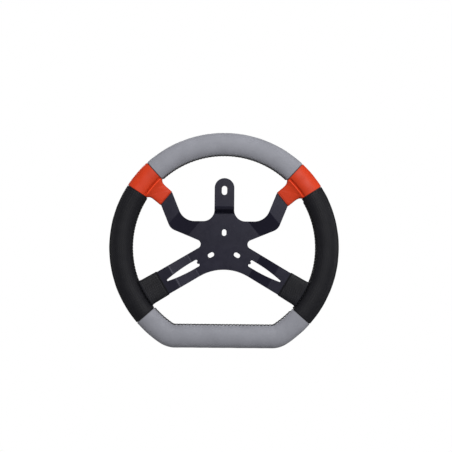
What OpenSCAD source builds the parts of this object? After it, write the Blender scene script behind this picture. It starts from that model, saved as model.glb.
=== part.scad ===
// Flat-bottomed kart steering wheel: a bent spoke plate in a hoop-cored, foamed and sewn rim.
// Origin: centre of the hub slots on the rear face of the hub. +X is right and +Z is twelve o'clock
// as the driver sees it, and the driver sits towards -Y. Every part is drawn flat, with x right,
// y towards twelve o'clock and z towards the driver, and as_mounted() then stands it up.

/* [Rim] */
// Width of the wheel across the rim
rim_w = 320; // [300:1:340]
// Thickness of the rim in the plane of the wheel
rim_thick = 32.5; // [30:0.5:34]
// Depth of the rim along the steering axis
rim_depth = 28; // [26:0.5:30]
// Roundness of the rim's section: 2 is an ellipse, more is fuller
rim_fullness = 2.2; // [2:0.1:2.6]
// Height from the hub centre down to the middle of the flat bottom
flat_drop = 123.4; // [118:0.1:126]
// Bend radius at the two bottom corners, at the middle of the rim
corner_r = 23; // [20:1:28]

/* [Spoke plate] */
// Thickness of the aluminium sheet
plate_t = 4; // [3:0.5:5]
// How far the spoke ends and the tab stand forward of the hub
dish = 12; // [8:1:16]
// Width of the display tab
tab_w = 27.5; // [24:0.5:30]
// Height of the top of the tab above the hub centre
tab_top = 97; // [92:1:100]
// Height of the shoulders beside the tab
shoulder_y = 36.9; // [35:0.1:38]
// Angle of the upper spoke ends above horizontal
upper_angle = 40; // [39:1:41]
// Angle of the lower spokes below horizontal
lower_angle = 30.5; // [29.5:0.5:31.5]
// Width of the lower spokes
lower_w = 35.2; // [33:0.1:36]

/* [Slots] */
// Distance of each hub slot's middle from the hub centre
hub_slot_r = 21; // [19:0.1:22]
// Width of the hub slots, for M6 bolts
hub_slot_w = 6.2; // [6:0.1:7]
// Length of the hub slots from end to end
hub_slot_len = 9.2; // [8:0.2:11]
// Width of the slot in the display tab
tab_slot_w = 7.5; // [6:0.5:9]
// Length of the slot in the display tab
tab_slot_len = 12.5; // [10:0.5:15]
// Height of the middle of the tab slot
tab_slot_y = 79.8; // [76:0.1:82]

/* [Hoop] */
// Outer diameter of the steel hoop in the rim
hoop_d = 12; // [10:0.5:14]
// Wall of the hoop tube
hoop_wall = 1.5; // [1:0.25:2]
// Thickness of the steel lugs
lug_t = 3; // [2:0.5:3]
// Diameter of the rivets
rivet_d = 5; // [4:0.5:6]

/* [Covers] */
// Thickness of the rim covers
leather_t = 1.2; // [1:0.1:1.4]
// Thickness of the spoke sleeves
sleeve_t = 1; // [0.8:0.1:1.2]
// Angle from twelve o'clock to the end of the top cover
top_end = 42.6; // [42:0.2:43]
// Angle from twelve o'clock to the end of the upper side covers
upper_end = 57.4; // [57:0.2:58]
// Angle from twelve o'clock to the start of the bottom cover
bottom_start = 131.2; // [131:0.2:132]
// Gap left between two covers, and along the laced seam
seam_gap = 0.6; // [0.4:0.1:0.8]

/* [Stitching] */
// Distance from one stitch to the next
stitch_pitch = 5; // [4:0.5:6]
// Diameter of the thread
thread_d = 0.8; // [0.6:0.1:1]
// Reach of a stitch to each side of its seam
stitch_reach = 2.2; // [1.8:0.1:2.6]

/* [Hidden] */

$fn = 48;
arc_step = 5;
far = 200;

// Where a swept arc runs into the bottom bar one of them laps into the other and is a hair smaller
joint_lap = 0.1;
joint_step = 0.02;

// Rim path: a circle that runs through two corner arcs into a straight bottom
rim_r = (rim_w - rim_thick) / 2;
rim_z = dish + plate_t / 2;
corner_x = sqrt((rim_r - corner_r)^2 - (flat_drop - corner_r)^2);
corner_turn = atan2(corner_x, flat_drop - corner_r);
hoop_r = hoop_d / 2;

// Spoke frames: x runs out along the spoke, y to its left. A bend is named by its distance from the hub,
// and each strip is wide enough to reach past the plate's outline
spoke_bend_in = 50;
spoke_bend_out = 80;
spoke_bend_r = 4;
tab_bend_in = 49.5;
tab_bend_out = 55.5;
tab_bend_r = 2;
hub_reach = 47.3;
spoke_strip_half_w = 20;
arm_strip_lower_w = 40;
arm_strip_upper_w = 22;
end_clearance = 0.75;
plate_end_r = rim_r - hoop_r - end_clearance;
front = dish + plate_t;

// Corners of the upper arm and the hub before they are rounded, and their radii
arm_inner_foot = [56.9, shoulder_y];
arm_elbow = [75.1, 26.3];
arm_elbow_r = 15;
notch_apex = [25.2, 5.6];
notch_r = 6.2;
tab_fillet_r = 16;
arm_fillet_r = 22.5;
hub_arc_r = 66;
hub_apex_y = -lower_w / 2 / cos(lower_angle);

// Each spoke end inside its sleeve: [angle, border, visible half width, hidden half width, taper end]
upper_spoke = [upper_angle, 105.4, 11.5, 10, 112];
lower_spoke = [-lower_angle, 98, lower_w / 2, 16, 106];
upper_rivets = [[118.5, 0], [130, 0]];
lower_rivets = [[122, -8], [122, 8]];
upper_lug_w = 16;
lower_lug_w = 26;
lug_start = 113;
rivet_head_d = 8;
rivet_head_t = 1.6;

// Leaf slot in each lower spoke, in the spoke's own frame
leaf_start = 41.5;
leaf_widest = 50;
leaf_tip = 91.6;
leaf_tip_r = 1.2;
leaf_half_w = 5;
leaf_corner_r = 2;
tongue_r = 2.1;

// Foam roots: [distance out, depth in front of the rim's middle, depth behind it]
upper_root = [[107, 2.3, 2.3], [112, 3.4, 5.8], [120, 4.8, 7.4], [131, 9, 9], [137, 9, 9]];
lower_root = [[100, 2.3, 2.3], [108, 3, 5], [116, 4.2, 7.2], [128, 5.6, 8], [137, 6, 8]];

// Gap between a foam root and the sides of its spoke
root_clearance = 0.2;

function unit(v) = v / norm(v);
function turn(a) = (a + 540) % 360 - 180;

// Points of the arc that rounds corner p = [x, y, radius] between its neighbours a and b
function corner(a, p, b) =
    let (c = [p.x, p.y], u = unit([a.x, a.y] - c), v = unit([b.x, b.y] - c),
         middle = c + unit(u + v) * p.z / sin(acos(u * v) / 2),
         reach = p.z / tan(acos(u * v) / 2),
         from = c + u * reach - middle, to = c + v * reach - middle,
         start = atan2(from.y, from.x), sweep = turn(atan2(to.y, to.x) - start),
         steps = ceil(abs(sweep) / arc_step))
    [for (i = [0:steps]) middle + p.z * [cos(start + sweep * i / steps), sin(start + sweep * i / steps)]];

// Closed outline through corners [x, y, radius], a radius of 0 leaving the corner sharp
function rounded(path) =
    let (n = len(path))
    [for (i = [0:n - 1])
        each path[i].z > 0
            ? corner(path[(i + n - 1) % n], path[i], path[(i + 1) % n])
            : [[path[i].x, path[i].y]]];

// Half width and height of the rim section at angle a, for semi-axes w and d
function oval(a, w, d) =
    [w * sign(cos(a)) * abs(cos(a))^(2 / rim_fullness), d * sign(sin(a)) * abs(sin(a))^(2 / rim_fullness)];

// Point of a spoke's own frame, in the wheel's frame
function out_along(angle, s, n) = [s * cos(angle) - n * sin(angle), s * sin(angle) + n * cos(angle)];

module as_mounted() { rotate([90, 0, 0]) children(); }
module mirrored(left) { mirror([left ? 1 : 0, 0, 0]) children(); }
module both_sides() { for (left = [false, true]) mirrored(left) children(); }
module across(width) { rotate([90, 0, 0]) linear_extrude(width, center = true) children(); }

/* Rim */

// A solid oval rim section, inset from the surface of the covers
module rim_section(inset) {
    polygon([for (a = [0:10:350]) oval(a, rim_thick / 2 - inset, rim_depth / 2 - inset)]);
}

// A cover is an open section, whose two edges meet with a gap at the inner edge of the rim
module cover_section(inset = 0) {
    half_gap = 3 * asin((seam_gap + 2 * inset) / rim_depth);
    edge = 180 - half_gap;
    step = edge / 18;
    skin = leather_t - inset;
    outer = [for (a = [-edge:step:edge]) oval(a, rim_thick / 2 - inset, rim_depth / 2 - inset)];
    inner = [for (a = [edge:-step:-edge]) oval(a, rim_thick / 2 - skin, rim_depth / 2 - skin)];
    polygon(concat(outer, inner));
}

// Sweeps a section along the circle between two angles from twelve o'clock, clockwise
module along_circle(from, to) {
    translate([0, 0, rim_z])
        rotate(90 - to)
            rotate_extrude(angle = to - from)
                translate([rim_r, 0]) children();
}

// Sweeps a section round the right corner, from the bottom to the circle's end and a lap beyond it
module along_corner(lap) {
    translate([corner_x, corner_r - flat_drop, rim_z])
        rotate(-90)
            rotate_extrude(angle = corner_turn + lap)
                translate([corner_r, 0]) children();
}

module along_bottom() {
    translate([-corner_x, -flat_drop, rim_z])
        rotate([90, 0, 90])
            linear_extrude(2 * corner_x)
                mirror([1, 0]) children();
}

module along_bottom_bar(lap = 0) {
    both_sides() along_corner(lap) children();
    along_bottom() children();
}

/* Spokes */

// Strip of bent sheet along the x axis: flat at hub level, then stepped forward by the dish
module bent_strip(bend_in, bend_out, bend_r, start, right, left) {
    slope = atan2(dish, bend_out - bend_in);
    shift = plate_t / 2 * tan(slope / 2);
    translate([0, (left - right) / 2, 0])
        across(left + right)
            polygon(rounded([
                [start, 0, 0],
                [bend_in + shift, 0, bend_r + plate_t],
                [bend_out + shift, dish, bend_r],
                [far, dish, 0],
                [far, front, 0],
                [bend_out - shift, front, bend_r + plate_t],
                [bend_in - shift, plate_t, bend_r],
                [start, plate_t, 0]]));
}

// Corners [x, y, radius] where a spoke end meets its sleeve and where it narrows inside the sleeve
function spoke_end(spoke, top_border, bottom_border) =
    [for (p = [[top_border, spoke[2]], [spoke[4], spoke[3]], [far, spoke[3]],
               [far, -spoke[3]], [spoke[4], -spoke[3]], [bottom_border, -spoke[2]]])
        concat(out_along(spoke[0], p.x, p.y), 0)];

// The plate's outline, from the tab down the right side and up the left
module plate_outline() {
    right = concat(
        [[tab_w / 2, tab_top, tab_w / 2 - 0.01], [tab_w / 2, shoulder_y, tab_fillet_r],
         concat(arm_inner_foot, arm_fillet_r)],
        spoke_end(upper_spoke, upper_spoke[1] - 0.8, upper_spoke[1] + 0.4),
        [concat(arm_elbow, arm_elbow_r), concat(notch_apex, notch_r)],
        spoke_end(lower_spoke, lower_spoke[1] + 1, lower_spoke[1] + 1));
    left = [for (i = [len(right) - 1:-1:0]) [-right[i].x, right[i].y, right[i].z]];
    polygon(rounded(concat(right, [[0, hub_apex_y, hub_arc_r]], left)));
}

module slot_outline(length, width) {
    square([length - width, width], center = true);
    for (end = [-1, 1]) translate([end * (length - width) / 2, 0]) circle(d = width);
}

// Leaf: two long arcs that run into a small round tip, a blunt inner end and a round tongue in it
module leaf_outline() {
    steps = 12;
    run = leaf_tip - leaf_tip_r / 2 - leaf_widest;
    drop = leaf_half_w - 0.8 * leaf_tip_r;
    radius = (run^2 + drop^2) / (2 * drop);
    sweep = asin(run / radius);
    edge = [for (i = [1:steps]) [leaf_widest + radius * sin(sweep * i / steps),
                                 leaf_half_w - radius * (1 - cos(sweep * i / steps))]];
    difference() {
        union() {
            polygon(rounded(concat(
                [[leaf_start, -leaf_half_w, leaf_corner_r], [leaf_start, leaf_half_w, leaf_corner_r]],
                [for (p = edge) [p.x, p.y, 0]],
                [for (i = [len(edge) - 1:-1:0]) [edge[i].x, -edge[i].y, 0]])));
            translate([leaf_tip - leaf_tip_r, 0]) circle(leaf_tip_r);
        }
        translate([leaf_start, 0]) circle(tongue_r);
    }
}

module plate_slots() {
    for (a = [90, -30, 210]) rotate(a) translate([hub_slot_r, 0]) slot_outline(hub_slot_len, hub_slot_w);
    translate([0, tab_slot_y]) rotate(90) slot_outline(tab_slot_len, tab_slot_w);
    both_sides() rotate(-lower_angle) leaf_outline();
}

// The flat middle of the plate ends where the spokes and the tab begin to bend
module hub_region() {
    intersection_for (a = [upper_angle, 180 - upper_angle, -lower_angle, 180 + lower_angle, 90])
        rotate(a) translate([hub_reach / 2 - far / 2, 0]) square([far + hub_reach, 2 * far], center = true);
}

module spoke_end_holes() {
    both_sides() {
        rotate(upper_angle) for (p = upper_rivets) translate(p) circle(d = rivet_d);
        rotate(-lower_angle) for (p = lower_rivets) translate(p) circle(d = rivet_d);
    }
}

module spoke_plate() {
    color("#2c2b38")
        as_mounted()
            intersection() {
                linear_extrude(front)
                    difference() {
                        intersection() {
                            plate_outline();
                            circle(plate_end_r, $fn = 180);
                        }
                        plate_slots();
                        spoke_end_holes();
                    }
                union() {
                    linear_extrude(plate_t) hub_region();
                    rotate(90)
                        bent_strip(tab_bend_in, tab_bend_out, tab_bend_r, hub_reach,
                                   spoke_strip_half_w, spoke_strip_half_w);
                    both_sides() {
                        rotate(upper_angle)
                            bent_strip(spoke_bend_in, spoke_bend_out, spoke_bend_r, hub_reach,
                                       arm_strip_lower_w, arm_strip_upper_w);
                        rotate(-lower_angle)
                            bent_strip(spoke_bend_in, spoke_bend_out, spoke_bend_r, hub_reach,
                                       spoke_strip_half_w, spoke_strip_half_w);
                    }
                }
            }
}

/* Hoop, lugs and rivets */

// The hoop is a rolled arc and a bent bottom bar, butt-welded where the bottom corners begin
module hoop_arc() {
    color("#8a8d90")
        as_mounted()
            difference() {
                along_circle(corner_turn - 180, 180 - corner_turn) circle(hoop_r);
                along_circle(corner_turn - 181, 181 - corner_turn) circle(hoop_r - hoop_wall);
            }
}

module hoop_bottom() {
    color("#8a8d90")
        as_mounted()
            difference() {
                along_bottom_bar() circle(hoop_r);
                along_bottom_bar() circle(hoop_r - hoop_wall);
            }
}

module hoop_envelope() {
    along_circle(corner_turn - 180, 180 - corner_turn) circle(hoop_r);
}

// Lug behind the end of a spoke, cut to sit against the hoop
module lug_blank(angle, width) {
    rotate(angle)
        translate([lug_start, -width / 2, dish - lug_t])
            cube([rim_r - lug_start, width, lug_t]);
}

module lug(angle, width, rivets, left) {
    color("#8a8d90")
        as_mounted()
            mirrored(left)
                difference() {
                    lug_blank(angle, width);
                    rotate(angle)
                        for (p = rivets)
                            translate([p.x, p.y, 0]) cylinder(h = front, d = rivet_d);
                    hoop_envelope();
                }
}

module rivet() {
    translate([0, 0, dish - lug_t - rivet_head_t]) cylinder(h = rivet_head_t, d = rivet_head_d);
    translate([0, 0, dish - lug_t]) cylinder(h = lug_t + plate_t, d = rivet_d);
    translate([0, 0, front]) cylinder(h = rivet_head_t, d = rivet_head_d);
}

module right_rivets() {
    rotate(upper_angle) for (p = upper_rivets) translate([p.x, p.y, 0]) rivet();
    rotate(-lower_angle) for (p = lower_rivets) translate([p.x, p.y, 0]) rivet();
}

module lug_rivets() { color("#b4b6b8") as_mounted() both_sides() right_rivets(); }

/* Foam */

// Body of a root in its spoke's frame, grown by the sleeve's thickness where it is the sleeve's outside
module root_body(profile, half_w, grow) {
    across(2 * (half_w + grow))
        polygon(concat(
            [for (p = profile) [p.x, rim_z + p.y + grow]],
            [for (i = [len(profile) - 1:-1:0]) [profile[i].x, rim_z - profile[i].z - grow]]));
}

function root_half_w(spoke) = spoke[2] + root_clearance;

// Plate end as a plain bar, for the pocket that the foam and the sleeve leave for it
module plate_bar(spoke) {
    translate([0, 0, dish])
        linear_extrude(plate_t)
            intersection() {
                polygon([[spoke[1] - 2, -spoke[2] - 0.1], [spoke[1] + 1, -spoke[2]], [spoke[4], -spoke[3]],
                         [far, -spoke[3]], [far, spoke[3]], [spoke[4], spoke[3]],
                         [spoke[1] + 1, spoke[2]], [spoke[1] - 2, spoke[2] + 0.1]]);
                circle(plate_end_r, $fn = 180);
            }
}

module right_roots(grow) {
    rotate(upper_angle) root_body(upper_root, root_half_w(upper_spoke), grow);
    rotate(-lower_angle) root_body(lower_root, root_half_w(lower_spoke), grow);
}

module right_metal() {
    rotate(upper_angle) plate_bar(upper_spoke);
    rotate(-lower_angle) plate_bar(lower_spoke);
    lug_blank(upper_angle, upper_lug_w);
    lug_blank(-lower_angle, lower_lug_w);
    right_rivets();
}

module rim_foam() {
    color("#3a3a3c")
        as_mounted()
            difference() {
                union() {
                    along_circle(corner_turn - 180, 180 - corner_turn) rim_section(leather_t);
                    along_bottom_bar(joint_lap) rim_section(leather_t + joint_step);
                    both_sides() right_roots(0);
                }
                along_circle(corner_turn - 180 - joint_lap, 180 - corner_turn + joint_lap) circle(hoop_r);
                along_bottom_bar() circle(hoop_r + joint_step);
                both_sides() right_metal();
            }
}

/* Covers */

module cover(from, to, left) {
    gap = asin(seam_gap / 2 / rim_r);
    mirrored(left)
        difference() {
            along_circle(from + gap, to - gap) cover_section();
            right_roots(0);
        }
}

module wrap_top() { color("#8f929a") as_mounted() cover(-top_end, top_end, false); }
module wrap_upper(left) { color("#d84a26") as_mounted() cover(top_end, upper_end, left); }
module wrap_side(left) { color("#1d1d20") as_mounted() cover(upper_end, bottom_start, left); }

module wrap_bottom() {
    gap = asin(seam_gap / 2 / rim_r);
    color("#8f929a")
        as_mounted() {
            both_sides() along_circle(bottom_start + gap, 180 - corner_turn) cover_section();
            along_bottom_bar(joint_lap) cover_section(joint_step);
        }
}

// Sleeve: a skin over the foam root, from its border on the spoke to the rim, slit behind the spoke
module sleeve(spoke, profile, left) {
    hem = [[spoke[1], plate_t / 2, plate_t / 2]];
    outside = concat(hem, profile);
    as_mounted()
        mirrored(left)
            difference() {
                rotate(spoke[0])
                    difference() {
                        root_body(outside, root_half_w(spoke), sleeve_t);
                        root_body(outside, root_half_w(spoke), 0);
                        translate([0, -seam_gap / 2, 0]) cube([far, seam_gap, dish]);
                    }
                along_circle(0, 180 - corner_turn) rim_section(0);
            }
}

module sleeve_upper(left) { color("#d84a26") sleeve(upper_spoke, upper_root, left); }
module sleeve_lower(left) { color("#1d1d20") sleeve(lower_spoke, lower_root, left); }

/* Stitches */

// One stitch that crosses its seam at a slant, with the seam along x and the leather below
module stitch() {
    slant = atan2(stitch_pitch / 2, 2 * stitch_reach);
    translate([0, 0, thread_d / 2])
        rotate([90, 0, -slant])
            cylinder(h = 2 * stitch_reach / cos(slant), d = thread_d, center = true, $fn = 16);
}

// Stitches along the inner edge of the circle between two angles
module lacing(from, to, left) {
    inner_r = rim_r - rim_thick / 2;
    count = floor(inner_r * (to - from) * PI / 180 / stitch_pitch);
    mirrored(left)
        translate([0, 0, rim_z])
            for (i = [0:count - 1])
                rotate(90 - from - (to - from) * (i + 0.5) / count)
                    translate([inner_r, 0, 0])
                        rotate([90, 0, -90]) stitch();
}

module lacing_bottom() {
    inner_r = corner_r - rim_thick / 2;
    corner_count = round(inner_r * corner_turn * PI / 180 / stitch_pitch);
    flat_count = round(2 * corner_x / stitch_pitch);
    for (left = [false, true]) {
        lacing(bottom_start, 180 - corner_turn, left);
        mirrored(left)
            translate([corner_x, corner_r - flat_drop, rim_z])
                for (i = [0:corner_count - 1])
                    rotate(-90 + corner_turn * (i + 0.5) / corner_count)
                        translate([inner_r, 0, 0]) rotate([90, 0, -90]) stitch();
    }
    for (i = [0:flat_count - 1])
        translate([-corner_x + 2 * corner_x * (i + 0.5) / flat_count, rim_thick / 2 - flat_drop, rim_z])
            rotate([90, 0, 180]) stitch();
}

module stitch_top() { color("#141416") as_mounted() lacing(-top_end, top_end, false); }
module stitch_upper(left) { color("#141416") as_mounted() lacing(top_end, upper_end, left); }
module stitch_side(left) { color("#141416") as_mounted() lacing(upper_end, bottom_start, left); }
module stitch_bottom() { color("#141416") as_mounted() lacing_bottom(); }

// Stitches that close a sleeve behind its spoke
module sleeve_stitches(spoke, profile, left) {
    last = rim_r - rim_thick / 2 - 1.5;
    count = floor((last - profile[1].x) / stitch_pitch);
    color("#141416")
        as_mounted()
            mirrored(left)
                rotate(spoke[0])
                    for (i = [0:count])
                        let (s = profile[1].x + stitch_pitch * i,
                             z = rim_z - lookup(s, [for (p = profile) [p.x, p.z]]) - sleeve_t)
                            translate([s, 0, z]) rotate([180, 0, 0]) stitch();
}

spoke_plate();
hoop_arc();
hoop_bottom();
lug(upper_angle, upper_lug_w, upper_rivets, true);  // hoop_lug_upper_left
lug(upper_angle, upper_lug_w, upper_rivets, false);  // hoop_lug_upper_right
lug(-lower_angle, lower_lug_w, lower_rivets, true);  // hoop_lug_lower_left
lug(-lower_angle, lower_lug_w, lower_rivets, false);  // hoop_lug_lower_right
lug_rivets();
rim_foam();
wrap_top();
wrap_upper(true);  // wrap_upper_left
wrap_upper(false);  // wrap_upper_right
wrap_side(true);  // wrap_side_left
wrap_side(false);  // wrap_side_right
wrap_bottom();
sleeve_upper(true);  // sleeve_upper_left
sleeve_upper(false);  // sleeve_upper_right
sleeve_lower(true);  // sleeve_lower_left
sleeve_lower(false);  // sleeve_lower_right
stitch_top();
stitch_upper(true);  // stitch_upper_left
stitch_upper(false);  // stitch_upper_right
stitch_side(true);  // stitch_side_left
stitch_side(false);  // stitch_side_right
stitch_bottom();
sleeve_stitches(upper_spoke, upper_root, true);  // stitch_sleeve_upper_left
sleeve_stitches(upper_spoke, upper_root, false);  // stitch_sleeve_upper_right
sleeve_stitches(lower_spoke, lower_root, true);  // stitch_sleeve_lower_left
sleeve_stitches(lower_spoke, lower_root, false);  // stitch_sleeve_lower_right
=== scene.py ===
"""Looks of the flat-bottomed kart steering wheel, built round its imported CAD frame.

Lengths are in millimetres in the code that builds the meshes, and MM turns them into metres. The rim is
laid out by s, the distance clockwise round its middle line from the top, and v, the distance round its
section from its outer edge. A spoke is laid out by s out along it, n across it and h forward.
"""

import math

import bpy
import numpy as np
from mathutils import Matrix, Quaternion, Vector


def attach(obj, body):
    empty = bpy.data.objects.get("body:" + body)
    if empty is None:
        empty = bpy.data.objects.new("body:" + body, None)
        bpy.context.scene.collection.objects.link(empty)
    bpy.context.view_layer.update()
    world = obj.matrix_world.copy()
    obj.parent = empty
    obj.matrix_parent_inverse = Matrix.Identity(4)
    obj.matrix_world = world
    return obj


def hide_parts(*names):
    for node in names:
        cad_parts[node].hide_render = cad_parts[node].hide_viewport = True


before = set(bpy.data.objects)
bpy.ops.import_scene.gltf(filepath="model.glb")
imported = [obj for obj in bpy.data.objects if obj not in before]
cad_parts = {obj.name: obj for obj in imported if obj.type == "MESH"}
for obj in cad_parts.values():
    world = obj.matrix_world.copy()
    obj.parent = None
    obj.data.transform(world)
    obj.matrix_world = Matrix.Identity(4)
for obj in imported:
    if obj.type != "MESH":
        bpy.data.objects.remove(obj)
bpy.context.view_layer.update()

MM = 0.001

# The rim, as in part.scad: a circle that runs through two corner arcs into a straight bottom
RIM_R = 143.75
CORNER_R = 23.0
CORNER_Z = -100.4
CORNER_X = math.sqrt((RIM_R - CORNER_R) ** 2 - CORNER_Z**2)
CORNER_TURN = math.atan2(CORNER_X, -CORNER_Z)
ARC_LEN = RIM_R * (math.pi - CORNER_TURN)
BEND_LEN = CORNER_R * CORNER_TURN
HALF_LEN = ARC_LEN + BEND_LEN + CORNER_X
RIM_HALF_W = 16.25
RIM_HALF_D = 14.0
RIM_POWER = 2.2
RIM_PLANE = 14.0

SECTION_SAMPLES = 4001

# The covers, and the seam at the rim's inner edge, where their two lips meet. LEATHER_LEAST is what is left
# of the leather where it is pulled in deeper than its own thickness
LEATHER = 1.2
LEATHER_LEAST = 0.15
SEAM_GAP = 0.6
END_ROLL = 0.7
LIP_ROLL = 0.9

# How far the lacing pulls the seam in, everywhere and more round the top
SEAM_SINK = 0.35
SEAM_SINK_TOP = 0.95
SEAM_SINK_WIDTH = 4.6
TOP_REACH = 120.0

# A dimple at each hole of the lacing, and a pucker of leather between two holes
HOLE_DEPTH = 0.42
HOLE_WIDTH = 1.1
PUCKER_HEIGHT = 0.22
PUCKER_PLACE = 1.6
PUCKER_WIDTH = 1.4

# Slow waves in the leather, gathered at the lips and all over
GATHER_HEIGHT = 0.14
GATHER_LENGTH = 9.0
GATHER_FADE = 6.0
WAVE_HEIGHT = 0.08
WAVE_LENGTH = 47.0
WAVE_SLANT = 0.4

# Darker leather at the lips and ends, partly worn raw edges and partly painted shade in the seam and the gaps
# between covers: as a share of the lacing's reach, how strong at a cover's ends, and how far from them
WORN_SHADE_REACH = 0.7
WORN_SHADE_END = 0.7
WORN_SHADE_END_FADE = 0.8

# Distances from a cover's end and from its lip at which the rounding is sampled, and the steps between
END_STEPS = np.array([0, 0.06, 0.2, 0.45, 0.75, 1.1])
END_CLEAR = 1.6
LIP_STEPS = np.array([0, 0.07, 0.22, 0.45, 0.8, 1.2, 1.7, 2.2, 2.7, 3.2, 3.8, 4.6, 5.6, 6.8])
LIP_CLEAR = 7.8
STEP_ROUND = 0.85
STEPS_ACROSS = 104

# Folds where the covers tuck in at the sleeves: angle from the top, distance out, depth, width, half length
TUCKS = [(math.radians(50.0), 131.8, 1.3, 1.5, 16.5), (math.radians(120.5), 128.6, 1.0, 1.1, 20.5)]
TUCK_FADE = 2.0

# The thread: a stitch rises over the leather in its middle and dips into a hole at each end
PITCH = 5.0
THREAD_R = 0.75
THREAD_SIDES = 8
THREAD_TIP = 0.35
STITCH_RISE = 0.45
STITCH_DIP = 1.3
STITCH_BEND = 7
STITCH_SAMPLES = 13
STITCH_CLEAR = 0.8
FIRST_STITCH = 1.0


# Meshes


def row(x, z, forward):
    """Points of the row frame in metres. forward is towards the driver, from the hub's rear face."""
    return np.stack([x, -forward, z], axis=-1) * MM


def add_mesh(name, verts, faces, uvs=None, attributes=None):
    """A smooth mesh object. uvs and attributes hold one value for each vertex."""
    mesh = bpy.data.meshes.new(name)
    mesh.from_pydata(verts.reshape(-1, 3).tolist(), [], faces)
    obj = bpy.data.objects.new(name, mesh)
    bpy.context.scene.collection.objects.link(obj)
    if uvs is not None:
        loop_vertex = np.zeros(len(mesh.loops), np.int64)
        mesh.loops.foreach_get("vertex_index", loop_vertex)
        layer = mesh.uv_layers.new(name="surface")
        layer.data.foreach_set("uv", uvs.reshape(-1, 2)[loop_vertex].astype(np.float32).ravel())
    for key, values in (attributes or {}).items():
        layer = mesh.attributes.new(key, "FLOAT", "POINT")
        layer.data.foreach_set("value", values.ravel().astype(np.float32))
    mesh.shade_smooth()
    mesh.update()
    return obj


def finish_piece(obj, node, material):
    """Gives a piece its material, puts it on the body and hides the CAD node it replaces."""
    obj.data.materials.append(material)
    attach(obj, "root")
    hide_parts(node)


def grid_faces(rows, cols, close_rows, close_cols):
    """Quads between neighbouring points of a grid, which may close on itself either way."""
    faces = []
    for i in range(rows if close_rows else rows - 1):
        a, b = i * cols, (i + 1) % rows * cols
        for j in range(cols if close_cols else cols - 1):
            k = (j + 1) % cols
            faces.append((a + j, b + j, b + k, a + k))
    return faces


def end_caps(faces, rows, cols):
    """Faces that close both ends of a tube, turned the same way as its own faces."""
    first, last = range(cols), range((rows - 1) * cols, rows * cols)
    with_ring = any(f[i] == 0 and f[(i + 1) % 4] == 1 for f in faces[:cols] for i in range(4))
    if with_ring:
        return [tuple(reversed(first)), tuple(last)]
    return [tuple(first), tuple(reversed(last))]


def outward(verts, faces):
    """The faces turned so that their normals point out of the mesh, judged by the volume its quads hold."""
    flat = verts.reshape(-1, 3)
    quads = np.array([f for f in faces if len(f) == 4])
    a, b, c, d = (flat[quads[:, i]] for i in range(4))
    volume = np.einsum("ij,ij->i", a, np.cross(b, c) + np.cross(c, d)).sum()
    return faces if volume > 0 else [tuple(reversed(f)) for f in faces]


# The rim's surface


def bump(x, centre, width, sharpness=2):
    """A smooth hump of height 1 that falls off to both sides of its centre."""
    return np.exp(-(((x - centre) / width) ** sharpness))


def rim_frame(s):
    """Points of the rim's middle line, and its outward normals, at distances s clockwise from the top."""
    s = (np.asarray(s, float) + HALF_LEN) % (2 * HALF_LEN) - HALF_LEN
    t, side = np.abs(s), np.where(s < 0, -1.0, 1.0)
    on_arc = t < ARC_LEN
    turn = np.where(on_arc, t / RIM_R, math.pi - CORNER_TURN + (t - ARC_LEN) / CORNER_R)
    turn = np.minimum(turn, math.pi)
    x = np.where(on_arc, RIM_R, CORNER_R) * np.sin(turn) + np.where(on_arc, 0, CORNER_X)
    x = x - np.maximum(t - ARC_LEN - BEND_LEN, 0)
    z = np.where(on_arc, RIM_R, CORNER_R) * np.cos(turn) + np.where(on_arc, 0, CORNER_Z)
    return side * x, z, side * np.sin(turn), np.cos(turn)


def power(value, exponent):
    """A power that keeps the value's sign."""
    return np.sign(value) * np.abs(value) ** exponent


def section_table():
    """The rim's section by length v from its outer edge, positive towards the driver: v, w, d and normals."""
    angle = np.linspace(-math.pi, math.pi, SECTION_SAMPLES)
    w = RIM_HALF_W * power(np.cos(angle), 2 / RIM_POWER)
    d = RIM_HALF_D * power(np.sin(angle), 2 / RIM_POWER)
    step = np.hypot(np.diff(w), np.diff(d))
    v = np.concatenate([[0], np.cumsum(step)])
    v = v - v[-1] / 2
    nw = power(w / RIM_HALF_W, RIM_POWER - 1) / RIM_HALF_W
    nd = power(d / RIM_HALF_D, RIM_POWER - 1) / RIM_HALF_D
    size = np.hypot(nw, nd)
    return v, w, d, nw / size, nd / size


SECTION = section_table()
V_MAX = SECTION[0][-1]
LIP_V = V_MAX - SEAM_GAP / 2


def section(v):
    """The section's w and d, and its normal there, at section length v."""
    return [np.interp(v, SECTION[0], column) for column in SECTION[1:]]


def on_rim(s, v, lift):
    """Points over the rim's surface at distance s round it, section length v, and height lift."""
    x, z, nx, nz = rim_frame(s)
    w, d, nw, nd = section(v)
    out = w + nw * lift
    return row(x + nx * out, z + nz * out, RIM_PLANE + d + nd * lift)


def rolled(distance, radius):
    """How far an edge of that radius has rolled in, at a distance from the edge."""
    t = np.clip(1 - distance / radius, 0, 1)
    return radius * (1 - np.sqrt(1 - t**2))


def ripple(s, scale, seed):
    """A smooth seeded wave of s, between about -1 and 1."""
    source = np.random.default_rng(seed)
    total = np.zeros_like(s)
    for length in (1.0, 0.61, 0.37):
        total = total + np.sin(s / (scale * length) * 2 * math.pi + source.uniform(0, 2 * math.pi))
    usual_peak = 2.2
    return total / usual_peak


def seam_sink(s, lip):
    """How far the lacing pulls the leather in, at distance s round the rim and lip from the cover's edge."""
    pull = SEAM_SINK + SEAM_SINK_TOP * bump(s, 0, TOP_REACH, 4)
    return pull * bump(lip, 0, SEAM_SINK_WIDTH)


def tuck(s, v):
    """Depth of the folds where the covers tuck in along the front of the sleeves."""
    out = RIM_R + section(v)[0]
    depth = np.zeros_like(out)
    for angle, reach, deep, width, half_len in TUCKS:
        along = out * (np.abs(s) / RIM_R - angle)
        ends = np.clip((half_len - np.abs(along)) / TUCK_FADE, 0, 1)
        depth += deep * bump(out, reach, width) * ends
    return depth * (v > 0)


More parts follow.
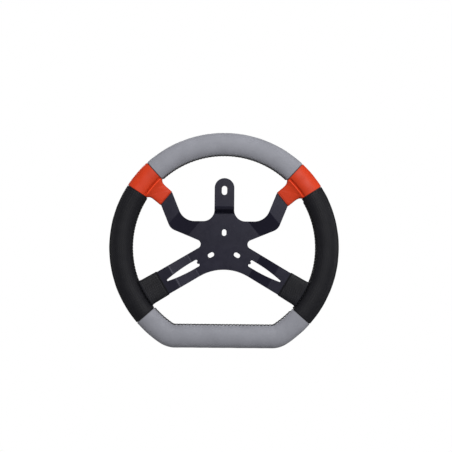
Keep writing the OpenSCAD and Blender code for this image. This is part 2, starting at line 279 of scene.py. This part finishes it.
def cover(name, start, end, reach, node, material, seed):
    """A leather cover from start to end round the rim, with rolled ends, and puckers where lacing reaches."""
    steps = max(int((end - start - 2 * END_CLEAR) / STEP_ROUND), 4)
    middle = np.linspace(start + END_CLEAR, end - END_CLEAR, steps)
    s = np.concatenate([start + END_STEPS, middle, end - END_STEPS[::-1]])
    across = np.linspace(LIP_CLEAR - LIP_V, LIP_V - LIP_CLEAR, STEPS_ACROSS)
    v = np.concatenate([LIP_STEPS - LIP_V, across, LIP_V - LIP_STEPS[::-1]])
    ss, vv = np.meshgrid(s, v, indexing="ij")
    lip = LIP_V - np.abs(vv)
    tip = np.minimum(ss - start, end - ss)
    # the holes behind lie half a pitch on from the ones in front
    beat = np.cos(2 * math.pi * (ss / PITCH + np.where(vv > 0, 0.0, 0.5)))
    lift = -rolled(tip, END_ROLL) - rolled(lip, LIP_ROLL) - seam_sink(ss, lip) - tuck(ss, vv)
    lift = lift - HOLE_DEPTH * (0.5 + 0.5 * beat) * bump(lip, reach, HOLE_WIDTH)
    lift = lift + PUCKER_HEIGHT * (0.5 - 0.5 * beat) * bump(lip, PUCKER_PLACE, PUCKER_WIDTH)
    gather = ripple(ss, GATHER_LENGTH, seed) * np.exp(-lip / GATHER_FADE)
    wave = ripple(ss + WAVE_SLANT * vv, WAVE_LENGTH, seed + 1)
    lift = lift + GATHER_HEIGHT * gather + WAVE_HEIGHT * wave
    outer = on_rim(ss, vv, lift)
    inner = on_rim(ss, vv, np.minimum(lift - LEATHER_LEAST, -LEATHER))[:, ::-1]
    verts = np.concatenate([outer, inner], axis=1)
    uvs = np.stack([ss, vv], axis=-1) * MM
    uvs = np.concatenate([uvs, uvs[:, ::-1]], axis=1)
    # painted shade in the seam and at the cover's ends, partly worn raw edges too; the inner side is dark all
    # over
    worn_and_shade = np.maximum(bump(lip, 0, WORN_SHADE_REACH * reach), WORN_SHADE_END * np.exp(-tip / WORN_SHADE_END_FADE))
    worn_and_shade = np.concatenate([worn_and_shade, np.ones_like(worn_and_shade)], axis=1)
    rows, cols = verts.shape[:2]
    faces = grid_faces(rows, cols, False, True)
    # each end of the shell is closed by quads from its outer side to its inner side
    for base, flip in ((0, False), ((rows - 1) * cols, True)):
        for j in range(cols // 2 - 1):
            quad = (base + j, base + j + 1, base + cols - 2 - j, base + cols - 1 - j)
            faces.append(tuple(reversed(quad)) if flip else quad)
    obj = add_mesh(name, verts, outward(verts, faces), uvs, {"worn_and_shade": worn_and_shade})
    finish_piece(obj, node, material)


# Thread


def thread(name, lines, node, material):
    """Tubes along lines of points in metres, as one piece, with rounded ends and a length along each."""
    verts, faces, uvs = [], [], []
    for line in lines:
        line = np.asarray(line)
        tangent = np.gradient(line, axis=0)
        tangent /= np.linalg.norm(tangent, axis=1, keepdims=True)
        aside = np.array([0.3, 1.0, 0.2])
        first = np.cross(tangent, aside)
        first /= np.linalg.norm(first, axis=1, keepdims=True)
        second = np.cross(tangent, first)
        along = np.concatenate([[0], np.cumsum(np.linalg.norm(np.diff(line, axis=0), axis=1))])
        thick = np.ones(len(line))
        thick[[0, -1]] = THREAD_TIP
        base = len(verts)
        for i in range(len(line)):
            for k in range(THREAD_SIDES):
                a = 2 * math.pi * k / THREAD_SIDES
                offset = (first[i] * math.cos(a) + second[i] * math.sin(a)) * THREAD_R * MM * thick[i]
                verts.append(line[i] + offset)
                uvs.append((along[i], k / THREAD_SIDES * MM))
        tube = grid_faces(len(line), THREAD_SIDES, False, True)
        faces += [tuple(base + v for v in f) for f in tube]
        faces.append(tuple(base + k for k in range(THREAD_SIDES)))
        last = base + (len(line) - 1) * THREAD_SIDES
        faces.append(tuple(last + k for k in reversed(range(THREAD_SIDES))))
    verts = np.array(verts)
    obj = add_mesh(name, verts, outward(verts, faces), np.array(uvs))
    finish_piece(obj, node, material)


def lacing(start, end, reach):
    """The lines of a laced seam: a zigzag across the rim's inner edge that dips into its holes."""
    count = max(int((end - start) / PITCH), 1)
    first = math.ceil((start + FIRST_STITCH) / PITCH) * PITCH
    lines = []
    for k in range(count + 1):
        s0 = first + k * PITCH
        for here, there, front in ((s0, s0 + PITCH / 2, True), (s0 + PITCH / 2, s0 + PITCH, False)):
            if here < start + STITCH_CLEAR or there > end - STITCH_CLEAR:
                continue
            t = np.linspace(0, 1, STITCH_SAMPLES)
            cross = (LIP_V - reach) + 2 * (reach + SEAM_GAP / 2) * t
            v = np.where(cross < V_MAX, cross, cross - 2 * V_MAX)
            v = v if front else -v
            sink = seam_sink(here, V_MAX - np.abs(v))
            lift = STITCH_RISE - STITCH_DIP * np.abs(2 * t - 1) ** STITCH_BEND - sink
            lines.append(on_rim(here + (there - here) * t, v, lift))
    return lines


# Sleeves

# Each sleeve's angle, its border on the spoke, and its section's height in front, depth behind and half
# width as tables of (distance out, value). A distance follows the rim's circle at the outer end and is
# straight across the spoke at the border.
UPPER = {
    "angle": 40.0,
    "border": 105.4,
    "seam_end": 127.0,
    "crest": 130.2,
    "front": [(105.4, 3.5), (107, 3.7), (112, 4.4), (118, 5.4), (122, 6.3), (125, 7.4), (127.5, 8.8),
              (129.3, 10.3), (130.2, 10.9), (131.0, 10.7), (131.8, 9.6), (132.8, 7.6)],
    "rear": [(105.4, 3.2), (107, 3.6), (112, 6.6), (120, 8.4), (127, 9.4), (130.5, 10.1), (132.8, 8.6)],
    "width": [(105.4, 12.3), (118, 12.5), (122, 12.9), (124.5, 13.7), (126.5, 15.0), (128, 16.6),
              (132.8, 17.3)],
}
LOWER = {
    "angle": -30.5,
    "border": 98.0,
    "seam_end": 125.0,
    "crest": 126.4,
    "front": [(98, 3.5), (100, 3.7), (108, 4.3), (116, 5.4), (123, 6.4), (125.5, 6.7), (126.8, 6.5),
              (127.8, 5.6), (128.6, 4.2), (130.5, 3.0)],
    "rear": [(98, 3.2), (100, 3.6), (108, 6.0), (116, 8.0), (126, 8.9), (127.5, 8.5), (130.5, 7.0)],
    "width": [(98, 18.4), (110, 18.7), (122, 18.9), (125, 19.2), (127, 19.9), (128.5, 20.9), (130.5, 21.6)],
}
SLEEVE_POWER = 4.4
SLEEVE_SIDES = 160

# The sleeve's leather, and the least that its inner side keeps from the spoke's middle plane
SLEEVE_SKIN = 0.95
INNER_LEAST = 0.3

# Rows of points out along a sleeve: its plain middle, and its shoulder, which is curved and sampled closely
MIDDLE_START = 3.2
MIDDLE_END = 10
MIDDLE_ROWS = 12
SHOULDER_START = 9.5
SHOULDER_ROWS = 40

# Slow waves in the sleeves' leather, which start from nothing at the border
SLEEVE_WAVE_HEIGHT = 0.12
SLEEVE_WAVE_LENGTH = 13.0
SLEEVE_WAVE_SLANT = 0.7
WAVES_START = 3

# Darker leather at the border and the outer end, partly worn edges and partly painted shade at the border and
# at the gap by the rim; along the crest in front lighter leather, partly stretched and partly a painted
# highlight
WORN_SHADE_BORDER = 1.5
WORN_SHADE_OUTER_FADE = 1.2
CREST_HIGHLIGHT_WIDTH = 0.8
FRONT_FACING = 0.3

# How the sleeve's hem turns in at the border on the spoke: distances past the border, and how far each of
# the first ones is shut in
HEM_STEPS = np.array([0.9, 0.35, 0.05, 0, 0.15, 0.5, 0.9, 1.2, 1.45, 1.7, 1.95, 2.2, 2.6])
HEM_SHUT = [1.0, 0.97, 0.8, 0.55, 0.25, 0.07]
HEM_DEPTH = 1.2
CREASE_PLACE = 1.7
CREASE_WIDTH = 0.5
CREASE_DEPTH = 0.6
CREASE_LEAST_HEIGHT = 1.5

# The slit behind a sleeve, and the stitches across it
SLIT_WIDTH = 0.9
SLIT_DEPTH = 0.6
SLEEVE_STITCH = 2.4
PULL_WIDTH = 1.0
PULL_DEPTH = 0.3
SEAM_RISE = 0.25
SEAM_DIP = 0.9
SEAM_BEND = 6
SEAM_SAMPLES = 11


def along_spoke(angle, s, n, h):
    """Points of a spoke's own frame: s out along it, n to its left, h forward of the rim's middle plane."""
    a = math.radians(angle)
    return row(s * math.cos(a) - n * math.sin(a), s * math.sin(a) + n * math.cos(a), RIM_PLANE + h)


def sleeve_shape(spoke, rr, aa, inset):
    """A sleeve's surface, less an inset, at distance rr out and angle aa round its section: s, n and h."""
    half, high, deep = (np.interp(rr, *np.array(spoke[key]).T) - inset for key in ("width", "front", "rear"))
    end = spoke["front"][-1][0]
    n = half * power(np.cos(aa), 2 / SLEEVE_POWER)
    h = np.where(np.sin(aa) > 0, high, deep) * power(np.sin(aa), 2 / SLEEVE_POWER)
    share = np.clip((rr - spoke["border"]) / (end - spoke["border"]), 0, 1) ** 2
    s = (1 - share) * rr + share * np.sqrt(np.maximum(rr**2 - n**2, 1))
    return s, n, h


def sleeve(name, spoke, left, node, material, seed):
    """A leather sleeve round a spoke's root, from its border on the spoke to where it tucks into the rim."""
    border, end = spoke["border"], spoke["front"][-1][0]
    reach = np.concatenate([
        border + HEM_STEPS,
        np.linspace(border + MIDDLE_START, end - MIDDLE_END, MIDDLE_ROWS),
        np.linspace(end - SHOULDER_START, end, SHOULDER_ROWS),
    ])
    shut = np.zeros_like(reach)
    shut[:len(HEM_SHUT)] = HEM_SHUT
    angles = np.linspace(0, 2 * math.pi, SLEEVE_SIDES, endpoint=False)
    rr, aa = np.meshgrid(reach, angles, indexing="ij")
    s, n, h = sleeve_shape(spoke, rr, aa, shut[:, None] * HEM_DEPTH)
    rear = np.sin(aa) < 0
    started = np.clip((rr - border) / WAVES_START, 0, 1)
    # the closed slit behind the spoke and the pull of its stitches
    slit = rear * bump(n, 0, SLIT_WIDTH)
    beat = 0.5 + 0.5 * np.cos(2 * math.pi * s / PITCH)
    pull = rear * bump(np.abs(n), SLEEVE_STITCH, PULL_WIDTH) * beat
    h = h + (SLIT_DEPTH * slit + PULL_DEPTH * pull) * started
    # the crease that the hem's glued edge leaves
    crease = bump(rr - border, CREASE_PLACE, CREASE_WIDTH)
    h = h - CREASE_DEPTH * crease * np.sign(h) * (np.abs(h) > CREASE_LEAST_HEIGHT)
    wave = ripple(s + SLEEVE_WAVE_SLANT * n, SLEEVE_WAVE_LENGTH, seed)
    h = h + SLEEVE_WAVE_HEIGHT * wave * np.sign(h) * started
    outer = along_spoke(spoke["angle"], s, n, h)
    # the inner skin starts two rows in, so that the hem rolls over into it
    keep = slice(2, None)
    inner_n = np.sign(n) * np.maximum(np.abs(n) - SLEEVE_SKIN, 0)
    inner_h = np.sign(h) * np.maximum(np.abs(h) - SLEEVE_SKIN, INNER_LEAST)
    inner = along_spoke(spoke["angle"], s, inner_n, inner_h)[keep][::-1]
    verts = np.concatenate([outer, inner], axis=0)
    if left:
        verts = verts * np.array([-1, 1, 1])
    around = np.cumsum(np.hypot(np.gradient(n, axis=1), np.gradient(h, axis=1)), axis=1)
    uvs = np.stack([s, around], axis=-1) * MM
    uvs = np.concatenate([uvs, uvs[keep][::-1]], axis=0)
    # painted shade along the border on the spoke and at the outer end by the rim, partly worn edges too; the
    # inner side is dark all over
    worn_and_shade = np.maximum(bump(rr, border, WORN_SHADE_BORDER), np.exp(-(end - rr) / WORN_SHADE_OUTER_FADE))
    worn_and_shade = np.concatenate([worn_and_shade, np.ones_like(worn_and_shade[keep])], axis=0)
    # a lighter crest in front, partly stretched leather and partly a painted highlight
    stretched = bump(rr, spoke["crest"], CREST_HIGHLIGHT_WIDTH) * (np.sin(aa) > FRONT_FACING)
    stretched = np.concatenate([stretched, np.zeros_like(stretched[keep])], axis=0)
    faces = grid_faces(verts.shape[0], verts.shape[1], True, True)
    obj = add_mesh(name, verts, outward(verts, faces), uvs, {"worn_and_shade": worn_and_shade, "stretched": stretched})
    finish_piece(obj, node, material)


def sleeve_seam(name, spoke, left, node, material):
    """Stitches that close a sleeve behind its spoke, two crossed ones to each pitch."""
    rear = np.array(spoke["rear"]).T
    lines = []
    s0 = math.ceil((spoke["border"] + PITCH / 2) / PITCH) * PITCH
    while s0 + PITCH / 2 < spoke["seam_end"]:
        for sign in (1, -1):
            t = np.linspace(0, 1, SEAM_SAMPLES)
            s = s0 + PITCH / 2 * t
            n = sign * SLEEVE_STITCH * (1 - 2 * t)
            h = -(np.interp(s, *rear) + SEAM_RISE - SEAM_DIP * np.abs(2 * t - 1) ** SEAM_BEND)
            line = along_spoke(spoke["angle"], s, n, h)
            lines.append(line * np.array([-1, 1, 1]) if left else line)
        s0 += PITCH
    thread(name, lines, node, material)


# Foam

# The hoop's tunnel, the steps of the shells, and how far the foam stays inside the leather, a little further
# under folds
HOOP_R = 6.05
FOAM_STEPS = 420
SKIN_SIDES = 72
TUNNEL_SIDES = 32
ROOT_STEPS = 40
ROOT_SIDES = 96
FOAM_GAP = 0.05
FOLD_LEAST = 0.01
FOLD_GAP = 0.2
ROOT_INSET = 1.0
ROOT_START = 2.2


def foam_skin():
    """The foam's outside under the covers, as one closed shell."""
    around = np.linspace(-HALF_LEN, HALF_LEN, FOAM_STEPS, endpoint=False)
    across = np.linspace(-V_MAX, V_MAX, SKIN_SIDES, endpoint=False)
    ss, vv = np.meshgrid(around, across, indexing="ij")
    folds = tuck(ss, vv) + seam_sink(ss, V_MAX - np.abs(vv))
    verts = on_rim(ss, vv, -LEATHER - FOAM_GAP - FOLD_GAP * (folds > FOLD_LEAST) - folds)
    return verts, outward(verts, grid_faces(FOAM_STEPS, SKIN_SIDES, True, True))


def foam_tunnel():
    """The tunnel that the hoop runs in, which is turned to face the hoop."""
    around = np.linspace(-HALF_LEN, HALF_LEN, FOAM_STEPS, endpoint=False)
    angles = np.linspace(0, 2 * math.pi, TUNNEL_SIDES, endpoint=False)
    ss, aa = np.meshgrid(around, angles, indexing="ij")
    x, z, nx, nz = rim_frame(ss)
    out, forward = HOOP_R * np.cos(aa), HOOP_R * np.sin(aa)
    verts = row(x + nx * out, z + nz * out, RIM_PLANE + forward)
    faces = outward(verts, grid_faces(FOAM_STEPS, TUNNEL_SIDES, True, True))
    return verts, [tuple(reversed(f)) for f in faces]


def foam_root(spoke, mirror):
    """The foam inside one sleeve, closed at both ends."""
    reach = np.linspace(spoke["border"] + ROOT_START, spoke["front"][-1][0], ROOT_STEPS)
    angles = np.linspace(0, 2 * math.pi, ROOT_SIDES, endpoint=False)
    rr, aa = np.meshgrid(reach, angles, indexing="ij")
    shape = sleeve_shape(spoke, rr, aa, ROOT_INSET + FOAM_GAP)
    verts = along_spoke(spoke["angle"], *shape) * np.array([mirror, 1, 1])
    faces = outward(verts, grid_faces(ROOT_STEPS, ROOT_SIDES, False, True))
    return verts, faces + end_caps(faces, ROOT_STEPS, ROOT_SIDES)


def foam_core(name, node, material):
    """The moulded foam under the covers: a tube round the hoop, overlapped by a root in each sleeve."""
    shells = [foam_skin(), foam_tunnel()]
    shells += [foam_root(spoke, mirror) for spoke in (UPPER, LOWER) for mirror in (1, -1)]
    verts, faces, base = [], [], 0
    for points, quads in shells:
        points = points.reshape(-1, 3)
        verts.append(points)
        faces += [tuple(base + k for k in f) for f in quads]
        base += len(points)
    obj = add_mesh(name, np.concatenate(verts), faces)
    finish_piece(obj, node, material)


# Materials

# The values that noise mostly stays between, and the sRGB step up to which a tone is linear
NOISE_RANGE = (0.3, 0.7)
SRGB_LINEAR = 10


class Nodes:
    """A node material with its Principled shader, and short ways to add nodes to it."""

    def __init__(self, name):
        self.material = bpy.data.materials.new(name)
        self.material.use_nodes = True
        self.tree = self.material.node_tree
        self.shader = self.tree.nodes["Principled BSDF"]
        self.place = self.add("ShaderNodeTexCoord").outputs["Object"]
        self.height = None

    def add(self, kind, inputs=None, **settings):
        """A new node with its settings, and its inputs by name or number."""
        node = self.tree.nodes.new(kind)
        for key, value in settings.items():
            setattr(node, key, value)
        for key, value in (inputs or {}).items():
            self.set(node.inputs[key], value)
        return node

    def set(self, socket, value):
        """Links a socket to another, or sets its value."""
        if isinstance(value, bpy.types.NodeSocket):
            self.tree.links.new(value, socket)
        else:
            socket.default_value = value

    def noise(self, scale, detail=3.0, rough=0.5, vector=None):
        inputs = {"Vector": vector or self.place, "Scale": scale, "Detail": detail, "Roughness": rough}
        return self.add("ShaderNodeTexNoise", inputs).outputs["Fac"]

    def cells(self, scale):
        return self.add("ShaderNodeTexVoronoi", {"Vector": self.place, "Scale": scale}).outputs["Distance"]

    def attribute(self, name):
        return self.add("ShaderNodeAttribute", attribute_name=name).outputs["Fac"]

    def surface_axes(self):
        """The two lengths along the surface that a mesh's uvs hold, in metres."""
        uv = self.add("ShaderNodeUVMap", uv_map="surface").outputs["UV"]
        split = self.add("ShaderNodeSeparateXYZ", {"Vector": uv})
        return split.outputs["X"], split.outputs["Y"]

    def math(self, operation, a, b=0.0):
        return self.add("ShaderNodeMath", {0: a, 1: b}, operation=operation).outputs[0]

    def spread(self, value, low, high, to_low, to_high):
        inputs = {"Value": value, "From Min": low, "From Max": high, "To Min": to_low, "To Max": to_high}
        return self.add("ShaderNodeMapRange", inputs).outputs[0]

    def even(self, value, low, high):
        """A noise's value, stretched to run from low to high."""
        return self.spread(value, *NOISE_RANGE, low, high)

    def mix(self, factor, a, b):
        node = self.add("ShaderNodeMix", data_type="RGBA")
        self.set(node.inputs[0], factor)
        self.set(node.inputs[6], a)
        self.set(node.inputs[7], b)
        return node.outputs[2]

    def emboss(self, value, strength, distance):
        """Raises the surface by a value, on top of what was embossed before."""
        inputs = {"Height": value, "Strength": strength, "Distance": distance}
        node = self.add("ShaderNodeBump", inputs)
        if self.height is not None:
            self.set(node.inputs["Normal"], self.height)
        self.height = node.outputs["Normal"]
        self.set(self.shader.inputs["Normal"], self.height)

    def finish(self, **values):
        """Sets the shader's own inputs, their names written with _ for each space."""
        for key, value in values.items():
            self.set(self.shader.inputs[key.replace("_", " ")], value)
        return self.material


def tone(r, g, b, gain=1.0):
    """A colour given in sRGB steps of 0 to 255, as linear light."""
    linear = []
    for c in (r, g, b):
        light = c / 255 / 12.92 if c <= SRGB_LINEAR else ((c / 255 + 0.055) / 1.055) ** 2.4
        linear.append(light * gain)
    return (*linear, 1.0)


def leather(name, colour, dark, roughness, grain, sheen):
    """Smooth leather: pores, finer grain, a slight mottle, darker rolled edges that are partly worn and
    partly painted shade, and a lighter crest that is partly stretched and partly a painted highlight.
    """
    m = Nodes(name)
    mottle = m.even(m.noise(38.0, 4.0, 0.6), 0.0, 1.0)
    base = m.mix(mottle, tone(*colour, gain=0.93), tone(*colour, gain=1.07))
    fibre = m.even(m.noise(1500.0, 2.0), 0.0, 0.16)
    base = m.mix(fibre, base, tone(*dark))
    # darker edges, partly worn and partly painted shade
    worn_and_shade = m.attribute("worn_and_shade")
    base = m.mix(m.spread(worn_and_shade, 0.15, 1.0, 0.0, 0.85), base, tone(*dark))
    # lighter crest, partly stretched leather and partly a painted highlight
    stretched = m.attribute("stretched")
    base = m.mix(m.math("MULTIPLY", stretched, 0.75), base, tone(*colour, gain=1.6))
    pores = m.cells(1150.0)
    m.emboss(m.spread(pores, 0.0, 0.55, 0.0, 1.0), grain, 0.00012)
    m.emboss(m.noise(320.0, 3.0), grain * 0.8, 0.00025)
    rough = m.even(m.noise(90.0), roughness - 0.06, roughness + 0.06)
    return m.finish(Base_Color=base, Roughness=rough, Sheen_Weight=sheen, Sheen_Roughness=0.5, IOR=1.45,
                    Specular_IOR_Level=0.32)


def woven_leather(name, colour, dark, pitch, roughness):
    """Black cover leather embossed with a fine basket weave that follows the cover, with painted shade in its
    hollows, darker edges that are partly worn and partly painted shade, and a lighter crest that is partly
    stretched and partly a painted highlight.
    """
    m = Nodes(name)
    along, across = m.surface_axes()
    wave = math.pi / (pitch * math.sqrt(2) * MM)
    sine_u = m.math("SINE", m.math("MULTIPLY", m.math("ADD", along, across), wave))
    sine_v = m.math("SINE", m.math("MULTIPLY", m.math("SUBTRACT", along, across), wave))
    # strands one way lie over those the other way in every second square
    over = m.math("MULTIPLY", sine_u, sine_v)
    height = m.spread(over, -0.12, 0.12, m.math("ABSOLUTE", sine_u), m.math("ABSOLUTE", sine_v))
    mottle = m.even(m.noise(45.0, 4.0, 0.6), 0.0, 1.0)
    base = m.mix(mottle, tone(*colour, gain=0.9), tone(*colour, gain=1.12))
    # painted shade in the weave's hollows: darker where the strands lie low
    base = m.mix(m.spread(height, 0.1, 0.9, 0.85, 0.0), base, tone(*dark))
    # darker edges, partly worn and partly painted shade
    worn_and_shade = m.attribute("worn_and_shade")
    base = m.mix(m.spread(worn_and_shade, 0.15, 1.0, 0.0, 0.9), base, tone(*dark))
    # lighter crest, partly stretched leather and partly a painted highlight
    stretched = m.attribute("stretched")
    base = m.mix(m.math("MULTIPLY", stretched, 0.6), base, tone(*colour, gain=2.2))
    m.emboss(height, 0.75, 0.00025)
    m.emboss(m.noise(1400.0, 2.0), 0.12, 0.0001)
    rough = m.spread(height, 0.0, 1.0, roughness + 0.12, roughness - 0.04)
    return m.finish(Base_Color=base, Roughness=rough, IOR=1.45, Specular_IOR_Level=0.2)


def anodised(name, colour, light):
    """Blasted and anodised aluminium sheet."""
    m = Nodes(name)
    cloud = m.even(m.noise(16.0, 4.0, 0.55), 0.0, 1.0)
    base = m.mix(cloud, tone(*colour), tone(*light))
    speck = m.spread(m.noise(2600.0, 2.0), 0.52, 0.8, 0.0, 0.25)
    base = m.mix(speck, base, tone(62, 60, 80))
    m.emboss(m.noise(2300.0, 3.0, 0.6), 0.16, 0.00008)
    m.emboss(m.noise(60.0, 2.0), 0.05, 0.0004)
    rough = m.even(m.noise(140.0), 0.29, 0.36)
    return m.finish(Base_Color=base, Roughness=rough, Metallic=0.25, IOR=1.5, Specular_IOR_Level=0.26)


def metal(name, colour, roughness, scratch):
    """Plain steel or aluminium with fine drawn lines."""
    m = Nodes(name)
    stretched = m.add("ShaderNodeMapping", {"Vector": m.place, "Scale": (1.0, 14.0, 1.0)}).outputs[0]
    lines = m.noise(160.0, 4.0, 0.6, stretched)
    base = m.mix(m.even(lines, 0.0, 1.0), tone(*colour, gain=0.8), tone(*colour, gain=1.1))
    m.emboss(lines, scratch, 0.0001)
    rough = m.even(m.noise(70.0), roughness - 0.05, roughness + 0.1)
    return m.finish(Base_Color=base, Roughness=rough, Metallic=1.0)


def foam(name):
    """Moulded polyurethane foam with an open skin, and painted shade in its open cells."""
    m = Nodes(name)
    bubbles = m.cells(700.0)
    # painted shade in the open cells: darker in their hollows
    base = m.mix(m.spread(bubbles, 0.1, 0.6, 0.0, 1.0), tone(30, 30, 32), tone(66, 66, 68))
    m.emboss(bubbles, 0.5, 0.0004)
    rough = m.even(m.noise(120.0), 0.85, 0.98)
    return m.finish(Base_Color=base, Roughness=rough)


def waxed_thread(name):
    """Black twisted thread, its strands winding along each stitch, with painted shade between the strands."""
    m = Nodes(name)
    along, around = m.surface_axes()
    # two waves round the thread, each of which the absolute value below makes into two ridges
    wound = m.math("MULTIPLY", around, 2 * math.pi * 2 / MM)
    turn = m.math("ADD", m.math("MULTIPLY", along, 6500.0), wound)
    twist = m.math("ABSOLUTE", m.math("SINE", turn))
    # painted shade between the strands: darker where the twist lies low
    base = m.mix(m.spread(twist, 0.0, 1.0, 0.0, 1.0), tone(9, 9, 10), tone(30, 30, 32))
    fuzz = m.noise(3000.0, 2.0)
    m.emboss(twist, 0.6, 0.0002)
    m.emboss(fuzz, 0.2, 0.0001)
    return m.finish(Base_Color=base, Roughness=m.even(fuzz, 0.5, 0.7))


FLOOR_R = 4.8
FLOOR_Z = -0.9
FLOOR_SIDES = 128
FLOOR_GLOW = 0.5


def studio_floor(name):
    """A pale floor, which glows for the camera only, so that it looks lighter than it lights the wheel."""
    m = Nodes(name)
    base = m.mix(m.noise(3.0), tone(172, 172, 172), tone(178, 178, 178))
    seen = m.add("ShaderNodeLightPath").outputs["Is Camera Ray"]
    glow = m.math("MULTIPLY", seen, FLOOR_GLOW)
    return m.finish(Base_Color=base, Roughness=0.9, Emission_Color=(1, 1, 1, 1), Emission_Strength=glow)


GREY = leather("grey leather", (143, 144, 152), (26, 26, 29), 0.66, 0.22, 0.08)
ORANGE = leather("orange leather", (206, 57, 20), (80, 14, 6), 0.55, 0.25, 0.0)
BLACK = woven_leather("black woven leather", (27, 27, 32), (2, 2, 3), 2.0, 0.5)
PLATE = anodised("anodised sheet", (24, 23, 36), (30, 29, 44))
STEEL = metal("zinc-plated steel", (150, 152, 150), 0.35, 0.2)
ALUMINIUM = metal("bright aluminium", (190, 191, 193), 0.3, 0.15)
FOAM = foam("moulded foam")
THREAD = waxed_thread("waxed thread")

# The covers and their lacing: where each starts and ends round the rim, and how far its stitches reach
top_end = RIM_R * math.radians(42.6)
upper_end = RIM_R * math.radians(57.4)
side_end = RIM_R * math.radians(131.2)
COVERS = [
    ("top", -top_end, top_end, 6.5, "grey_cover", GREY),
    ("upper_right", top_end, upper_end, 5.0, "orange_cover", ORANGE),
    ("side_right", upper_end, side_end, 5.0, "black_cover", BLACK),
    ("bottom", side_end, 2 * HALF_LEN - side_end, 3.8, "grey_cover", GREY),
    ("side_left", -side_end, -upper_end, 5.0, "black_cover", BLACK),
    ("upper_left", -upper_end, -top_end, 5.0, "orange_cover", ORANGE),
]
FIRST_COVER_SEED = 20
gap = SEAM_GAP / 2
for seed, (place, start, end, reach, slot, material) in enumerate(COVERS, FIRST_COVER_SEED):
    cover("cover_" + place, start + gap, end - gap, reach, "wrap_" + place, material, seed)
    thread("lacing_" + place, lacing(start, end, reach), "stitch_" + place, THREAD)

# The sleeves with their seams, and the foam under everything
for side, left, seed in (("left", True, 23), ("right", False, 24)):
    sleeve("sleeve_cover_upper_" + side, UPPER, left, "sleeve_upper_" + side, ORANGE, seed)
    sleeve("sleeve_cover_lower_" + side, LOWER, left, "sleeve_lower_" + side, BLACK, seed)
    sleeve_seam("seam_upper_" + side, UPPER, left, "stitch_sleeve_upper_" + side, THREAD)
    sleeve_seam("seam_lower_" + side, LOWER, left, "stitch_sleeve_lower_" + side, THREAD)
foam_core("foam_core", "rim_foam", FOAM)

# The CAD nodes that stay
KEPT = {"spoke_plate": PLATE, "hoop_arc": STEEL, "hoop_bottom": STEEL, "lug_rivets": ALUMINIUM}
for level in ("upper", "lower"):
    for side in ("left", "right"):
        KEPT["hoop_lug_" + level + "_" + side] = STEEL
for name, material in KEPT.items():
    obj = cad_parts[name]
    obj.data.materials.clear()
    obj.data.materials.append(material)

# The sheet's edges are broken
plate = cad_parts["spoke_plate"]
weld = plate.modifiers.new("weld", "WELD")
weld.merge_threshold = 0.01 * MM
edge = plate.modifiers.new("broken edges", "BEVEL")
edge.width = 0.4 * MM
edge.segments = 2
edge.limit_method = "ANGLE"
edge.angle_limit = math.radians(50)
plate.modifiers.new("normals", "WEIGHTED_NORMAL")

# Floor, light and camera, in metres
turns = [2 * math.pi * k / FLOOR_SIDES for k in range(FLOOR_SIDES)]
disc = [(FLOOR_R * math.cos(a), FLOOR_R * math.sin(a), FLOOR_Z) for a in turns]
floor_mesh = bpy.data.meshes.new("floor")
floor_mesh.from_pydata(disc, [], [range(FLOOR_SIDES)])
floor = bpy.data.objects.new("floor", floor_mesh)
bpy.context.scene.collection.objects.link(floor)
floor.data.materials.append(studio_floor("floor"))

# The world is white for the camera and dim for the light it gives
world = bpy.data.worlds.new("studio")
bpy.context.scene.world = world
world.use_nodes = True
sky = world.node_tree
background = sky.nodes["Background"]
background.inputs["Color"].default_value = (1, 1, 1, 1)
background.inputs["Strength"].default_value = 0.1
bright = sky.nodes.new("ShaderNodeBackground")
bright.inputs["Strength"].default_value = 1.0
bright.inputs["Color"].default_value = (1, 1, 1, 1)
seen = sky.nodes.new("ShaderNodeLightPath")
blend = sky.nodes.new("ShaderNodeMixShader")
sky.links.new(seen.outputs["Is Camera Ray"], blend.inputs[0])
sky.links.new(background.outputs[0], blend.inputs[1])
sky.links.new(bright.outputs[0], blend.inputs[2])
sky.links.new(blend.outputs[0], sky.nodes["World Output"].inputs["Surface"])


HUB = Vector((0, 0, 0))


def softbox(name, place, width, height, power_w):
    """A rectangular light at a place, turned to the wheel's hub."""
    light = bpy.data.lights.new(name, "AREA")
    light.shape = "RECTANGLE"
    light.size, light.size_y, light.energy = width, height, power_w
    obj = bpy.data.objects.new(name, light)
    bpy.context.scene.collection.objects.link(obj)
    obj.location = place
    obj.rotation_euler = (HUB - Vector(place)).to_track_quat("-Z", "Y").to_euler()


softbox("key softbox", (0.4, -1.8, 1.0), 1.1, 0.9, 33.0)
softbox("front softbox", (0.35, -2.2, 0.48), 0.45, 0.35, 9.0)
softbox("top softbox", (0.0, -0.2, 1.5), 1.6, 0.8, 6.0)
softbox("right softbox", (1.5, 0.0, 0.1), 0.8, 1.2, 7.0)
softbox("left softbox", (-1.5, 0.0, 0.1), 0.8, 1.2, 4.5)
softbox("back softbox", (-0.4, 1.8, 0.9), 1.4, 1.0, 16.0)

# The camera stands square on at DISTANCE, with the photograph's slight roll, and sees FIELD across
FIELD = 0.630
DISTANCE = 2.6
ROLL = math.radians(0.5)
camera_data = bpy.data.cameras.new("camera")
camera_data.lens = camera_data.sensor_width * DISTANCE / FIELD
camera = bpy.data.objects.new("camera", camera_data)
bpy.context.scene.collection.objects.link(camera)
target = Vector((0.0025, -0.014, 0.0303))
camera.location = target - DISTANCE * Vector((0, 1, 0))
aim = (target - camera.location).to_track_quat("-Z", "Y")
camera.rotation_mode = "QUATERNION"
camera.rotation_quaternion = aim @ Quaternion((0, 0, 1), ROLL)
bpy.context.scene.camera = camera
bpy.context.scene.view_settings.view_transform = "Standard"
